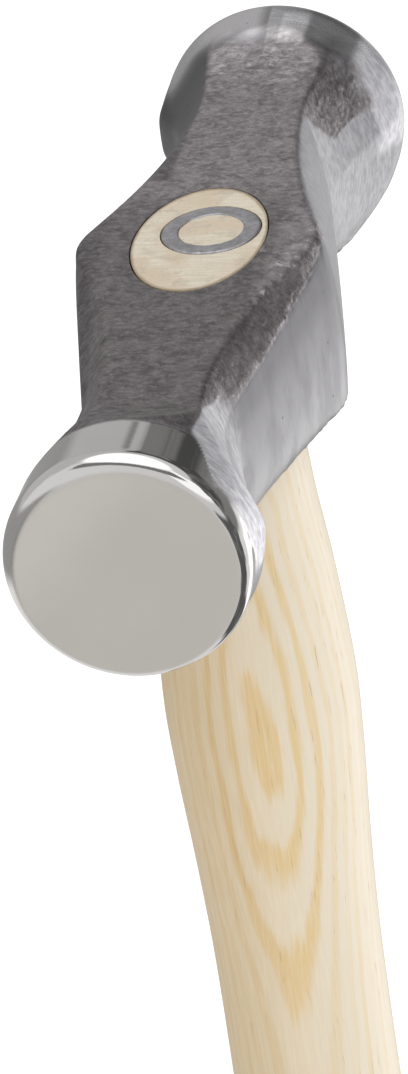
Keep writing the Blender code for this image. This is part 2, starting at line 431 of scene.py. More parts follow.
def chamfer_distance(angle, y):
    """From the axis to the chamfer between the flat and the side."""
    up = np.cos(angle)
    distance = soft_abs(y, RIDGE_SOFTNESS)
    reach = np.clip(distance / NECK_LENGTH, 0, 1)
    sweep = np.where(up > 0, UPPER_CHAMFER_SWEEP, LOWER_CHAMFER_SWEEP)
    drop = np.maximum(LEAST_CHAMFER, CHAMFER_DROP * reach**sweep)
    edge_z = np.sign(up) * (HALF_HEIGHT - drop)
    bow = cheek_bow(angle) * (1 - reach) / (HALF_HEIGHT - CHEEK_BOW_CENTRE_Z) ** 2
    edge_x = mix(CHEEK_HALF_WIDTH, NECK_HALF_WIDTH, reach) - bow * (edge_z - CHEEK_BOW_CENTRE_Z) ** 2
    flat_x = np.minimum(top_face_half_width(angle, distance), edge_x - 0.3)
    normal_x = drop
    normal_z = edge_x - flat_x
    offset = normal_x * flat_x + normal_z * HALF_HEIGHT
    length = np.hypot(normal_x, normal_z)
    facing = (normal_x * np.abs(np.sin(angle)) + normal_z * np.abs(up)) / length
    return (offset / length + chamfer_flare(angle, y)) / np.maximum(facing, 1e-3)


def head_radius(angle, y):
    """Distance from the head's axis to its surface."""
    degrees = np.degrees(angle)
    softness = mix(APEX_EDGE_SOFTNESS, EDGE_SOFTNESS, band(np.abs(y), 0, 14))
    radius = soft_min(flat_distance(angle, y), chamfer_distance(angle, y), softness)
    lower_edge = band(np.abs(degrees), 90, 105) * band(np.abs(y), 1, 7)
    softness = mix(softness, LOWER_EDGE_SOFTNESS, lower_edge)
    upper_right = within(degrees, 12, 90, 10) * np.maximum(band(y, 6, 22), band(-y, 38, 48))
    rear_right = within(degrees, 12, 150, 20) * band(y, 18, 44)
    softness = mix(softness, BLENDED_SOFTNESS, np.maximum(upper_right, rear_right))
    radius = soft_min(radius, side_distance(angle, y), softness)
    return soft_min(radius, rim_radius(angle, y), RIM_SOFTNESS) + rear_bulge(angle, y)


def head_rows():
    """(y, scale) of each row of the head's mesh, from one face to the other."""
    front_edge = FRONT_LENGTH - EDGE_DEPTH
    rear_edge = REAR_LENGTH - REAR_CROWN - EDGE_DEPTH
    face_steps = steps(FACE_ROWS)[1:-1]
    rows = [(-FRONT_LENGTH, share) for share in face_steps]
    quarter = [math.pi / 2 * share for share in steps(EDGE_ROWS)]
    rows += [(-front_edge - EDGE_DEPTH * math.cos(turn), 1.0) for turn in quarter[:-1]]
    start_end_and_spacing = (
        (-front_edge, -60.5, 0.7), (-60.5, -14.0, 0.38), (-14.0, 46.0, 0.48),
        (46.0, 62.5, 0.45), (62.5, rear_edge, 0.6),
    )
    for start, end, step in start_end_and_spacing:
        rows += [(y, 1.0) for y in spaced(start, end, step)]
    rows += [(rear_edge + EDGE_DEPTH * math.sin(turn), 1.0) for turn in quarter]
    crown_from = REAR_LENGTH - REAR_CROWN
    rows += [(crown_from + REAR_CROWN * (1 - share**2), share) for share in reversed(face_steps)]
    return rows


def ground_share(points, angle, ragged):
    """1 where the scale is ground away, on the whole head and then on its cheeks alone."""
    x, y, z = points.T
    distance = np.abs(y)
    front, right = y < 0, x > 0

    chamfer_drop = CHAMFER_DROP * np.clip(distance / NECK_LENGTH, 0, 1) ** UPPER_CHAMFER_SWEEP
    cheek_top = HALF_HEIGHT - chamfer_drop
    cheek = 1 - band(z + ragged * 0.12, cheek_top - 0.6, cheek_top - 0.1)
    cheek = cheek * band(z + ragged * 0.2, 0.4 - HALF_HEIGHT, 1.8 - HALF_HEIGHT)
    cheek = cheek * band(np.abs(x), 7.5, 9.5)

    patch_from = patch_start(y)
    on_patch = band(angle, patch_from - 4, patch_from + 4)
    off_the_top = band(np.abs(angle), 29, 37)
    flare_from = mix(FLARE_GROUND_FROM, mix(57.5, PATCH_GROUND_FROM, on_patch), off_the_top)
    wavy = distance + ragged * mix(0.5, 2.6, on_patch)
    front_flare = band(wavy, flare_from, flare_from + mix(1.5, 9.0, on_patch))

    flat_edge = top_face_half_width(angle, y) + 0.075 * np.maximum(0.0, distance - TOP_FACE_LENGTH)
    beside_flat = band(np.abs(x) + ragged * 0.25, flat_edge, flat_edge + 0.7)
    rear_end = band(y + ragged * 2.4, 54.0, 62.0)
    rear_left = np.maximum(beside_flat * band(y, 18, 26), rear_end)
    rear_right = np.maximum(beside_flat * band(y, 3, 6), rear_end)

    ground = np.where(front, front_flare, np.where(right, rear_right, rear_left))
    scale_left = scale_corner(angle, y, ragged) * (1 - rear_end) * right
    return np.maximum(cheek, ground) * (1 - scale_left), cheek


def patch_start(y):
    """The angle where the brushed patch on the front end's right starts."""
    return mix(PATCH_ANGLE_AT_NECK, PATCH_ANGLE_AT_FLARE, band(-y, 42, 52))


def scale_corner(angle, y, ragged):
    """1 on the corner of scale left on the rear end's right, which narrows to a tip."""
    top_y, top_angle = CORNER_TOP
    tip_y, tip_angle = CORNER_TIP
    starts = top_y + (angle - top_angle) * 0.25
    ends = tip_angle + (y - tip_y) * 0.37
    corner = 1 - band(angle + ragged * 2, ends, ends + mix(2.0, 7.0, band(y, 52, 58)))
    return corner * band(y + ragged * 0.5, starts, starts + 1.5)


def polish_share(angle, y, ragged):
    """1 on the mirror-polished front flare and the faces, a little on the rear end's top edge."""
    retreat = band(angle, 33, 52) * (1 - band(angle, 125, 160))
    polish_from = POLISH_FROM + POLISH_RETREAT * retreat - 1.2 * band(angle, 75, 95)
    front_polish = band(np.abs(y) + ragged * 0.15, polish_from, polish_from + 0.8)
    rear_edge = 0.25 * band(y, 57.5, 60.0) * within(angle, -60, 48, 12)
    return np.where(y < 0, front_polish, mix(rear_edge, 0.8, rear_face_share(y)))


def rear_face_share(y):
    """1 on the crowned rear face."""
    return band(y, REAR_FACE_FROM, REAR_LENGTH - REAR_CROWN)


def tone_and_painted_light_of(points, angle, ground, cheek, brushed):
    """How much lighter or darker than its material each point is: painted light and shade on rims, flanks,
    cheeks and the front face, and a little tone on the scale.
    """
    x, y, z = points.T
    scale = 1 - ground
    tone_and_painted_light = np.ones(len(points))
    layers = (PAINTED_LIGHT_AND_SHADE_PATCHES, 1.0), (GROUND_PAINTED_LIGHT_PATCHES, ground), (SCALE_PAINTED_LIGHT_AND_SHADE_PATCHES, scale)
    for patches, share in layers:
        for angle_from, angle_to, angle_soft, y_from, y_to, y_soft, change in patches:
            here = within(angle, angle_from, angle_to, angle_soft) * within(y, y_from, y_to, y_soft)
            tone_and_painted_light = tone_and_painted_light * (1 + change * here * share)
    # Painted light on the rear rim's -X side
    tone_and_painted_light = tone_and_painted_light * (1 + 0.90 * within(angle, -64, -7, 7) * band(y, 55, 62))
    # Painted light on the brushed patch, more on its +X part
    tone_and_painted_light = tone_and_painted_light * (1 + 0.35 * brushed + 0.55 * brushed * band(angle, 52, 70))
    # Scale lighter behind the eye, and darker on the rear end's upper +X side
    tone_and_painted_light = tone_and_painted_light * (1 + 0.50 * band(y, 6, 18) * scale)
    tone_and_painted_light = tone_and_painted_light * (1 - 0.30 * band(y, 38, 44) * band(angle, 25, 40) * scale)
    # Painted shade on the front cheeks, deeper on the upper part of the +X one, and painted light towards
    # their bottom
    front_cheek = cheek * within(y, -60, 0, 1)
    tone_and_painted_light = tone_and_painted_light * (1 - 0.22 * front_cheek * within(angle, 40, 66, 16)) * (1 - 0.14 * front_cheek)
    tone_and_painted_light = tone_and_painted_light * (1 + 0.20 * front_cheek * band(-z, -3, 9))
    # Painted light on the front face, lighter towards its upper -X edge
    on_front_face = y < -69
    tone_and_painted_light = tone_and_painted_light * (1 + 0.12 * band(z - x, 2, 20) * on_front_face)
    return mix(tone_and_painted_light, 1.0, rear_face_share(y))


def zones(points):
    """How each point is finished: shares of ground steel, mirror polish and hazy brushing, 0 to 1,
    and a tone with painted light and shade that its colour is multiplied by."""
    x, y, z = points.T
    angle = np.degrees(np.arctan2(x, z))
    front = y < 0
    ragged = noise_at(points, 0.45) * 1.2 + noise_at(points, 1.3, 7.0) * 0.6
    ground, cheek = ground_share(points, angle, ragged)
    polish = polish_share(angle, y, ragged)
    brushed_from = mix(patch_start(y), BRUSHED_ANGLE_AT_RIM, band(-y, 57.5, 60.5))
    brushed = within(angle, brushed_from, 100, 5) * band(-y + ragged, 36, 46) * (1 - polish) * front
    rear_right = (x > 0) & ~front
    haze = np.maximum(brushed, np.where(rear_right, 0.75 * within(y, 4, 64, 3), 0.0))
    tone_and_painted_light = tone_and_painted_light_of(points, angle, ground, cheek, brushed)
    return {"ground": ground, "polish": polish, "haze": haze, "tone_and_painted_light": tone_and_painted_light}


def relief(points, scale_share):
    """Height of the forging relief in millimetres: slow waves, and lumps and worms in the scale."""
    x, y, _ = points.T
    wander = np.column_stack([noise_at(points, 0.30, k * 11.0) for k in (1, 2, 3)])
    warped = points + wander * 1.2
    slow = noise_at(points, 0.11, 3.0) * 0.035 + noise_at(points, 0.28, 8.0) * 0.03
    lumps = noise_at(warped, 0.62) * 0.07 + noise_at(warped, 1.4, 5.0) * 0.03
    worms = np.abs(noise_at(warped, 0.75, 17.0)) - 0.25
    rough_corner = band(x - 0.35 * np.abs(y + 8), 3.0, 9.0)
    rear_strip = band(y, 40, 50) * 0.55
    worn = worms * 0.5 * np.maximum(rough_corner, rear_strip)
    smooth_left = band(-x - 0.75 * top_face_half_width(x, y), 0.0, 4.0)
    return (slow + lumps + worn) * scale_share * (1 - 0.8 * smooth_left)


def make_eye_cutter():
    """The eye's oval, pinched halfway up and flared at both mouths."""
    rows = []
    reach = HALF_HEIGHT + EYE_CUTTER_REACH
    for z in np.linspace(-reach, reach, EYE_ROWS):
        level = min(1.0, abs(z) / HALF_HEIGHT)
        depth = EYE_HALF_DEPTH - EYE_PINCH * (1 - level**2)
        mouth = max(0.0, abs(z) - HALF_HEIGHT + EYE_MOUTH_DEPTH) / EYE_MOUTH_DEPTH
        rows.append((z, depth, EYE_MOUTH_FLARE * min(2.0, mouth) ** 2))
    points = []
    for z, depth, flared in rows:
        for turn in np.linspace(0, 2 * math.pi, EYE_COLUMNS, endpoint=False):
            width = depth * EYE_HALF_WIDTH / EYE_HALF_DEPTH + flared
            points.append((width * math.cos(turn), (depth + flared) * math.sin(turn), z))
    last = (len(rows) - 1) * EYE_COLUMNS
    faces = grid_faces(len(rows), EYE_COLUMNS)
    faces += [tuple(reversed(range(EYE_COLUMNS))), tuple(range(last, last + EYE_COLUMNS))]
    return new_piece("eye_cutter", points, faces, None)


def make_head():
    """The head, with its relief, the eye cut through it and the masks for its finish."""
    rows = head_rows()
    turn = np.linspace(0, 2 * math.pi, HEAD_COLUMNS, endpoint=False)
    angles = turn - TOP_CROWDING * np.sin(turn)
    angles = (angles + math.pi) % (2 * math.pi) - math.pi
    points = []
    for y, scale in rows:
        edge_y = np.full(HEAD_COLUMNS, min(y, REAR_LENGTH - REAR_CROWN))
        radius = head_radius(angles, edge_y) * scale
        row = [radius * np.sin(angles), np.full(HEAD_COLUMNS, y), radius * np.cos(angles)]
        points.append(np.column_stack(row))
    points = np.vstack(points + [[(0, -FRONT_LENGTH, 0)], [(0, REAR_LENGTH, 0)]])
    last = (len(rows) - 1) * HEAD_COLUMNS
    faces = grid_faces(len(rows), HEAD_COLUMNS)
    faces += cap_faces(0, HEAD_COLUMNS, len(points) - 2, True)
    faces += cap_faces(last, HEAD_COLUMNS, len(points) - 1, False)
    head = new_piece("forged_head", points, faces, "head")
    height = relief(points, 1 - zones(points)["ground"])
    low, high = HEAD_LOW - AXIS_PLACE, HEAD_HIGH - AXIS_PLACE
    set_points(head, np.clip(points + normals_of(head) * height[:, None], low, high))
    cut(head, make_eye_cutter())
    for name, values in zones(points_of(head)).items():
        set_mask(head, name, values)
    shade(head, HEAD_SHARP_DEG)
    head.data.materials.append(head_material())
    return head


# Handle


def grip_size(below):
    """Half width and half depth at distances below the head's axis, through the stations."""
    stations = np.array(GRIP_STATIONS)
    depths = stations[:, 0]
    slopes = np.gradient(stations, depths, axis=0)
    index = np.clip(np.searchsorted(depths, below) - 1, 0, len(depths) - 2)
    span = depths[index + 1] - depths[index]
    share = ((below - depths[index]) / span)[:, None]
    start, end = stations[index], stations[index + 1]
    start_slope = slopes[index] * span[:, None]
    end_slope = slopes[index + 1] * span[:, None]
    size = (2 * share**3 - 3 * share**2 + 1) * start + (share**3 - 2 * share**2 + share) * start_slope
    size += (3 * share**2 - 2 * share**3) * end + (share**3 - share**2) * end_slope
    return size[:, 1], size[:, 2]


def tenon_size(z):
    """Half width and half depth of the tenon, which fills the eye."""
    depth = EYE_HALF_DEPTH - EYE_PINCH * (1 - min(1.0, abs(z) / HALF_HEIGHT) ** 2)
    return depth * EYE_HALF_WIDTH / EYE_HALF_DEPTH - FIT_GAP, depth - FIT_GAP


def handle_rows():
    """(z, half width, half depth, centre x) of each row, from the butt up to the tenon's end."""
    butt_z = -AXIS_Z
    shoulder_z = -HALF_HEIGHT - SHOULDER_DROP
    z_and_inset = []
    for share in steps(BUTT_ROWS):
        turn = math.pi / 2 * share
        z_and_inset.append((butt_z + BUTT_ROUND * (1 - math.cos(turn)), BUTT_ROUND * (1 - math.sin(turn))))
    ends = (butt_z + BUTT_ROUND, *GRIP_CLOSER_FROM, shoulder_z)
    heights = []
    for start, end, spacing in zip(ends, ends[1:], GRIP_SPACINGS):
        heights += spaced(start, end, spacing)
    z_and_inset += [(z, 0.0) for z in heights[1:] + [shoulder_z]]
    widths, grip_depths = grip_size(np.array([-z for z, _ in z_and_inset]))
    rows = []
    for (z, inset), width, depth in zip(z_and_inset, widths, grip_depths):
        fade = ease((z + HALF_HEIGHT + OFFSET_FADE_LENGTH) / OFFSET_FADE_LENGTH)
        rows.append((z, width - inset, depth - inset, HANDLE_OFFSET_X * (1 - fade)))
    for z in np.linspace(-HALF_HEIGHT, HALF_HEIGHT, TENON_ROWS):
        rows.append((z, *tenon_size(z), 0.0))
    return rows


def make_handle():
    """The grip and tenon in one, with a groove in the tenon's end for the ring wedge."""
    body = handle_rows()
    butt, top = body[0], body[-1]
    rows = [(butt[0], butt[1] * share, butt[2] * share, butt[3]) for share in (0.5, 0.8)]
    rows += body
    rows += [(top[0], top[1] * share, top[2] * share, top[3]) for share in (0.97, 0.9, 0.75, 0.5, 0.25)]
    turn = np.linspace(0, 2 * math.pi, HANDLE_COLUMNS, endpoint=False)
    points = []
    for z, width, depth, centre in rows:
        row = [centre + width * np.cos(turn), depth * np.sin(turn), np.full(HANDLE_COLUMNS, z)]
        points.append(np.column_stack(row))
    points = np.vstack(points + [[(butt[3], 0, butt[0])], [(0, 0, top[0])]])
    faces = grid_faces(len(rows), HANDLE_COLUMNS)
    faces += cap_faces(0, HANDLE_COLUMNS, len(points) - 2, True)
    faces += cap_faces((len(rows) - 1) * HANDLE_COLUMNS, HANDLE_COLUMNS, len(points) - 1, False)
    handle = new_piece("ash_handle", points, faces, "handle")
    cut(handle, lathe("ring_groove", ring_profile(RING_FIT, GROOVE_REACH, 0.0), None))
    shade(handle, HANDLE_SHARP_DEG)
    handle.data.materials.append(wood_material())
    return handle


# Ring wedge


def ring_profile(clearance, proud, corner):
    """(radius, height above the tenon's end) round the ring's section, grown by a clearance."""
    outer = RING_RADIUS + clearance
    inner_top = RING_RADIUS - RING_WALL - clearance
    inner_bottom = RING_RADIUS - RING_EDGE - clearance
    bottom = -RING_DEPTH - clearance
    profile = [(outer, z) for z in np.linspace(bottom, proud - corner, 8)]
    turns = [math.pi / 2 * share for share in steps(4)]
    inwards_and_down = [(corner * (1 - math.cos(turn)), corner * (1 - math.sin(turn))) for turn in turns]
    profile += [(outer - inwards, proud - down) for inwards, down in inwards_and_down]
    profile += [(mix(outer - corner, inner_top + corner, share), proud) for share in steps(5)[1:-1]]
    profile += [(inner_top + inwards, proud - down) for inwards, down in reversed(inwards_and_down)]
    for share in steps(8)[1:]:
        profile.append((mix(inner_top, inner_bottom, share), mix(proud - corner, bottom, share)))
    kept = [profile[0]]
    for point in profile[1:]:
        if math.dist(point, kept[-1]) > 1e-6:
            kept.append(point)
    return kept


def lathe(name, profile, cad_node):
    """The ring's section turned about its own axis, with a slightly uneven hand-driven outline."""
    points = []
    for radius, height in profile:
        for turn in np.linspace(0, 2 * math.pi, RING_COLUMNS, endpoint=False):
            around = Vector((math.cos(turn), math.sin(turn), 0))
            uneven = 1 + RING_UNEVENNESS * noise.noise(around * 1.7)
            points.append((
                RING_X + radius * uneven * around.x,
                RING_Y + radius * uneven * around.y,
                HALF_HEIGHT + height,
            ))
    faces = grid_faces(len(profile), RING_COLUMNS)
    last = (len(profile) - 1) * RING_COLUMNS
    for i in range(RING_COLUMNS):
        after = (i + 1) % RING_COLUMNS
        faces.append((last + i, last + after, after, i))
    return new_piece(name, points, faces, cad_node)


def make_ring():
    """The ring wedge, its top face dented a little below its full height by the hammer."""
    profile = ring_profile(0.0, RING_PROUD, RING_TOP_ROUND)
    ring = lathe("steel_ring_wedge", profile, "ring_wedge")
    points = points_of(ring)
    near_top = band(points[:, 2], HALF_HEIGHT - 1.0, HALF_HEIGHT)
    dents = (noise_at(points, 0.7) * 0.06 - 0.04) * near_top
    points[:, 2] += np.minimum(dents, 0.0)
    set_points(ring, points)
    shade(ring, RING_SHARP_DEG)
    ring.data.materials.append(ring_material())
    return ring


# Materials


def plug(tree, socket, value):
    """Links the socket to another node's output, or sets its value."""
    if isinstance(value, bpy.types.NodeSocket):
        tree.links.new(value, socket)
    else:
        socket.default_value = value


def plug_all(tree, made, inputs):
    for key, value in inputs.items():
        plug(tree, made.inputs[key], value)


def node(tree, kind, inputs, **settings):
    """A new node, with its settings made and its inputs plugged."""
    made = tree.nodes.new(kind)
    for name, value in settings.items():
        setattr(made, name, value)
    plug_all(tree, made, inputs)
    return made


def calc(tree, operation, first, second=0.0, third=0.0):
    inputs = {0: first, 1: second, 2: third}
    return node(tree, "ShaderNodeMath", inputs, operation=operation).outputs[0]


def blend(tree, share, first, second, mode="MIX"):
    """From the first colour at share 0 to the second at share 1."""
    made = node(tree, "ShaderNodeMix", {0: share, 6: first, 7: second}, data_type="RGBA", blend_type=mode)
    return made.outputs[2]


def blend_value(tree, share, first, second):
    return node(tree, "ShaderNodeMix", {0: share, 2: first, 3: second}, data_type="FLOAT").outputs[0]


def remap(tree, value, low, high, new_low=0.0, new_high=1.0):
    """Eases a value from one range to another, clamped at both ends."""
    inputs = {"Value": value, "From Min": low, "From Max": high, "To Min": new_low, "To Max": new_high}
    made = node(tree, "ShaderNodeMapRange", inputs, interpolation_type="SMOOTHSTEP")
    return made.outputs["Result"]


def millimetres(tree):
    """The point being shaded, in millimetres in the row frame."""
    place = tree.nodes.new("ShaderNodeTexCoord").outputs["Object"]
    scaled = node(tree, "ShaderNodeVectorMath", {0: place, "Scale": 1 / MM}, operation="SCALE")
    return scaled.outputs[0]


def noise_texture(tree, place, scale, detail=2.0, roughness=0.5, distortion=0.0):
    inputs = {"Vector": place, "Scale": scale, "Detail": detail, "Roughness": roughness}
    inputs["Distortion"] = distortion
    return node(tree, "ShaderNodeTexNoise", inputs).outputs["Fac"]


def stretched_noise(tree, place, stretch, *settings):
    """A noise texture with the place multiplied by the stretch first."""
    moved = node(tree, "ShaderNodeVectorMath", {0: place, 1: stretch}, operation="MULTIPLY")
    return noise_texture(tree, moved.outputs[0], *settings)


def mask(tree, name):
    """The number that set_mask stored at the point being shaded."""
    return node(tree, "ShaderNodeAttribute", {}, attribute_name=name).outputs["Fac"]


def grey(value, warm=0.0):
    """A near-grey colour, a little warm or, if negative, a little cool."""
    return (value * (1 + warm), value, value * (1 - warm), 1.0)


# Colours, in linear light: the darker and the lighter of each pair that a texture blends
SCALE_COLOURS = (0.148, 0.135, 0.140, 1.0), (0.228, 0.213, 0.219, 1.0)
SCALE_FLECK = (0.370, 0.352, 0.360, 1.0)
SCALE_HOLLOW = grey(0.075, 0.03)
SCALE_GRAIN = grey(0.09, 0.02)
# Ground steel's pair is blended by painted light, darker above and lighter below
GROUND_SHADED_AND_LIT = (0.215, 0.210, 0.228, 1.0), (0.375, 0.372, 0.385, 1.0)
GROUND_CLOUD = (0.185, 0.180, 0.196, 1.0)
GROUND_LINE = grey(0.13, -0.02)
GROUND_PIT = grey(0.05)
HAZE_COLOURS = (0.270, 0.265, 0.285, 1.0), (0.440, 0.436, 0.455, 1.0)
MIRROR_COLOURS = grey(0.62, 0.012), grey(0.70, 0.006)
FACE_COLOURS = (0.480, 0.462, 0.432, 1.0), (0.520, 0.500, 0.470, 1.0)
WEDGE_COLOURS = (0.350, 0.345, 0.362, 1.0), (0.480, 0.472, 0.492, 1.0)
WEDGE_OXIDE = grey(0.24)
# The cream and tan pairs are blended by painted shade, darker and redder towards -X
CREAM_SHADED_AND_LIT = (0.645, 0.495, 0.285, 1.0), (0.80, 0.71, 0.56, 1.0)
TAN_SHADED_AND_LIT = (0.61, 0.40, 0.16, 1.0), (0.78, 0.585, 0.29, 1.0)
FIBRE_COLOUR = (0.93, 0.86, 0.73, 1.0)
PORE_COLOUR = (0.50, 0.33, 0.16, 1.0)
END_COLOURS = (0.69, 0.61, 0.465, 1.0), (0.80, 0.73, 0.59, 1.0)
END_PATCH = (0.69, 0.57, 0.42, 1.0)
END_LINE = (0.86, 0.80, 0.62, 1.0)
END_SMUDGE = (0.50, 0.42, 0.32, 1.0)
END_SPECK = (0.42, 0.33, 0.22, 1.0)
# Painted shade in the gap round the tenon's end
END_GAP_SHADE = (0.28, 0.19, 0.10, 1.0)
WHITE = (1.0, 1.0, 1.0, 1.0)


def new_material(name):
    material = bpy.data.materials.new(name)
    material.use_nodes = True
    tree = material.node_tree
    return material, tree, tree.nodes["Principled BSDF"]


def product(tree, *values):
    """All the values multiplied together."""
    total = values[0]
    for value in values[1:]:
        total = calc(tree, "MULTIPLY", total, value)
    return total


def tint(tree, colour, texture, low, high, strength, over):
    """Lays a colour over another where the texture passes from low to high."""
    return blend(tree, remap(tree, texture, low, high, 0.0, strength), colour, over)


def bump(tree, height, distance_mm, strength=1.0):
    inputs = {"Height": height, "Distance": distance_mm * MM, "Strength": strength}
    return node(tree, "ShaderNodeBump", inputs).outputs["Normal"]


def scale_finish(tree, place):
    """Forging scale: mottled dark oxide, lighter on rubbed high spots. Gives colour, roughness, height."""
    blotches = noise_texture(tree, place, 0.30, 4.0, 0.66)
    flecks = stretched_noise(tree, place, (0.8, 1.2, 1.0), 0.95, 3.0, 0.66, 0.5)
    grains = noise_texture(tree, place, 2.6, 2.0)
    colour = blend(tree, remap(tree, blotches, 0.34, 0.66), *SCALE_COLOURS)
    fleck_share = remap(tree, flecks, 0.42, 0.70)
    colour = blend(tree, product(tree, fleck_share, 0.55), colour, SCALE_FLECK)
    colour = tint(tree, colour, flecks, 0.44, 0.28, 0.50, SCALE_HOLLOW)
    colour = tint(tree, colour, grains, 0.56, 0.34, 0.25, SCALE_GRAIN)
    rough = blend_value(tree, fleck_share, 0.50, 0.38)
    height = calc(tree, "ADD", product(tree, flecks, 0.8), product(tree, grains, 0.2))
    return colour, rough, height


def ground_finish(tree, place, haze):
    """Ground steel: fine vertical brushing, cloudy bands, a few pits and painted light that makes it
    lighter towards the bottom, and where it is hazy, criss-cross strokes that scatter light widely.
    Gives colour, roughness, height."""
    lines = stretched_noise(tree, place, (1.0, 1.6, 0.10), 3.6, 3.0, 0.6)
    broad = stretched_noise(tree, place, (1.0, 1.0, 0.4), 0.20, 3.0, 0.6)
    # Painted light: ground steel lighter towards the bottom
    lower = remap(tree, height_above_axis(tree, place), 11.0, -12.0)
    colour = blend(tree, lower, *GROUND_SHADED_AND_LIT)
    colour = tint(tree, colour, broad, 0.62, 0.35, 0.6, GROUND_CLOUD)
    colour = tint(tree, colour, lines, 0.60, 0.34, 0.30, GROUND_LINE)
    cells = node(tree, "ShaderNodeTexVoronoi", {"Vector": place, "Scale": 0.28, "Randomness": 1.0})
    colour = tint(tree, colour, cells.outputs["Distance"], 0.075, 0.03, 1.0, GROUND_PIT)

    strokes = stretched_noise(tree, place, (0.35, 1.4, 0.6), 1.0, 2.0, 0.5, 0.5)
    haze_colour = blend(tree, remap(tree, strokes, 0.28, 0.72), *HAZE_COLOURS)
    colour = blend(tree, haze, colour, haze_colour)
    rough = remap(tree, lines, 0.3, 0.7, 0.30, 0.42)
    height = calc(tree, "ADD", product(tree, lines, 0.09), product(tree, strokes, haze, 0.25))
    return colour, rough, height


def mirror_finish(tree, place):
    """Polished steel, satin on the faces. Gives colour, roughness, height."""
    smears = noise_texture(tree, place, 0.09, 2.0)
    hairlines = stretched_noise(tree, place, (0.25, 1.0, 2.2), 2.2, 3.0, 0.6)
    on_face = face_mask(tree, place)
    mirror_colour = blend(tree, smears, *MIRROR_COLOURS)
    face_colour = blend(tree, smears, *FACE_COLOURS)
    colour = blend(tree, on_face, mirror_colour, face_colour)
    mirror_rough = blend_value(tree, hairlines, 0.045, 0.085)
    face_rough = blend_value(tree, hairlines, 0.26, 0.34)
    rough = blend_value(tree, on_face, mirror_rough, face_rough)
    return colour, rough, product(tree, hairlines, 0.016)


def head_material():
    """Forged steel: dark scale, ground cheeks, a mirror-polished flare and satin faces."""
    material, tree, shader = new_material("forged_steel_finish")
    place = millimetres(tree)
    ground, polish, haze = (mask(tree, name) for name in ("ground", "polish", "haze"))
    scale_colour, scale_rough, scale_height = scale_finish(tree, place)
    ground_colour, ground_rough, ground_height = ground_finish(tree, place, haze)
    mirror_colour, mirror_rough, mirror_height = mirror_finish(tree, place)

    colour = blend(tree, ground, scale_colour, ground_colour)
    colour = blend(tree, polish, colour, mirror_colour)
    # Painted light and shade, with a little tone, multiplied into the colour
    tone_and_painted_light = node(tree, "ShaderNodeCombineXYZ", {i: mask(tree, "tone_and_painted_light") for i in range(3)}).outputs[0]
    colour = blend(tree, 1.0, colour, tone_and_painted_light, "MULTIPLY")
    rough = blend_value(tree, ground, scale_rough, ground_rough)
    rough = blend_value(tree, polish, rough, mirror_rough)
    height = blend_value(tree, ground, scale_height, ground_height)
    height = blend_value(tree, polish, height, mirror_height)
    metallic = calc(tree, "SUBTRACT", 1.0, product(tree, haze, ground, 0.6))
    plug_all(tree, shader, {
        "Base Color": colour,
        "Metallic": metallic,
        "Roughness": rough,
        "Normal": bump(tree, height, 0.16),
    })
    return material


def parts_of(tree, vector):
    """The vector's x, y and z."""
    return node(tree, "ShaderNodeSeparateXYZ", {0: vector}).outputs


def height_above_axis(tree, place):
    return calc(tree, "SUBTRACT", parts_of(tree, place)[2], AXIS_Z)


def face_mask(tree, place):
    """1 on the flat front face and the crowned rear one, inside their rounded edges."""
    y = parts_of(tree, place)[1]
    is_rear = calc(tree, "GREATER_THAN", y, 0.0)
    edge = blend_value(tree, is_rear, FRONT_LENGTH, REAR_LENGTH - REAR_CROWN)
    beyond = calc(tree, "SUBTRACT", calc(tree, "ABSOLUTE", y), edge)
    return remap(tree, beyond, -0.25, -0.02)


# Growth rings: flat-sawn, with the rings' centre far behind the side that looks at GRAIN_FACING_DEG,
# and bowed along the handle, so that they close into a long oval round GRAIN_CENTRE_Z
GRAIN_FACING_DEG = 18.0
PITH_DISTANCE = 60.0
GRAIN_TOP = 16.55
GRAIN_CENTRE_Z = -58.0
GRAIN_BOW = 0.0003
GRAIN_LEAN = -0.035
GRAIN_WANDER = 1.1
LEAST_DROP = -0.4
RING_SPACING = 1.6
EARLY_RINGS = 0.75
EARLY_REACH = 0.9


def ring_phase(tree, place):
    """Counts the growth rings inwards from the handle's fullest point, closer at first."""
    x, y, z = parts_of(tree, place)
    facing = math.radians(GRAIN_FACING_DEG)
    from_centre = calc(tree, "SUBTRACT", calc(tree, "SUBTRACT", z, AXIS_Z), GRAIN_CENTRE_Z)
    along = calc(tree, "ADD", product(tree, x, math.sin(facing)), product(tree, y, -math.cos(facing)))
    aside = calc(tree, "ADD", product(tree, x, math.cos(facing)), product(tree, y, math.sin(facing)))
    aside = calc(tree, "SUBTRACT", aside, product(tree, from_centre, GRAIN_LEAN))
    reach = calc(tree, "ADD", along, PITH_DISTANCE)
    squares = calc(tree, "ADD", product(tree, reach, reach), product(tree, aside, aside))
    drop = calc(tree, "SUBTRACT", PITH_DISTANCE + GRAIN_TOP, calc(tree, "SQRT", squares))
    bowed = product(tree, from_centre, from_centre, GRAIN_BOW)
    wander = stretched_noise(tree, place, (0.16, 0.16, 0.045), 1.0, 3.0, 0.55)
    wander = product(tree, calc(tree, "SUBTRACT", wander, 0.5), GRAIN_WANDER)
    drop = calc(tree, "ADD", calc(tree, "ADD", drop, bowed), wander)
    drop = calc(tree, "MAXIMUM", drop, LEAST_DROP)
    steady = calc(tree, "DIVIDE", drop, RING_SPACING)
    fallen = calc(tree, "EXPONENT", calc(tree, "DIVIDE", drop, -EARLY_REACH))
    early = calc(tree, "SUBTRACT", 1.0, fallen)
    return calc(tree, "ADD", steady, product(tree, early, EARLY_RINGS))


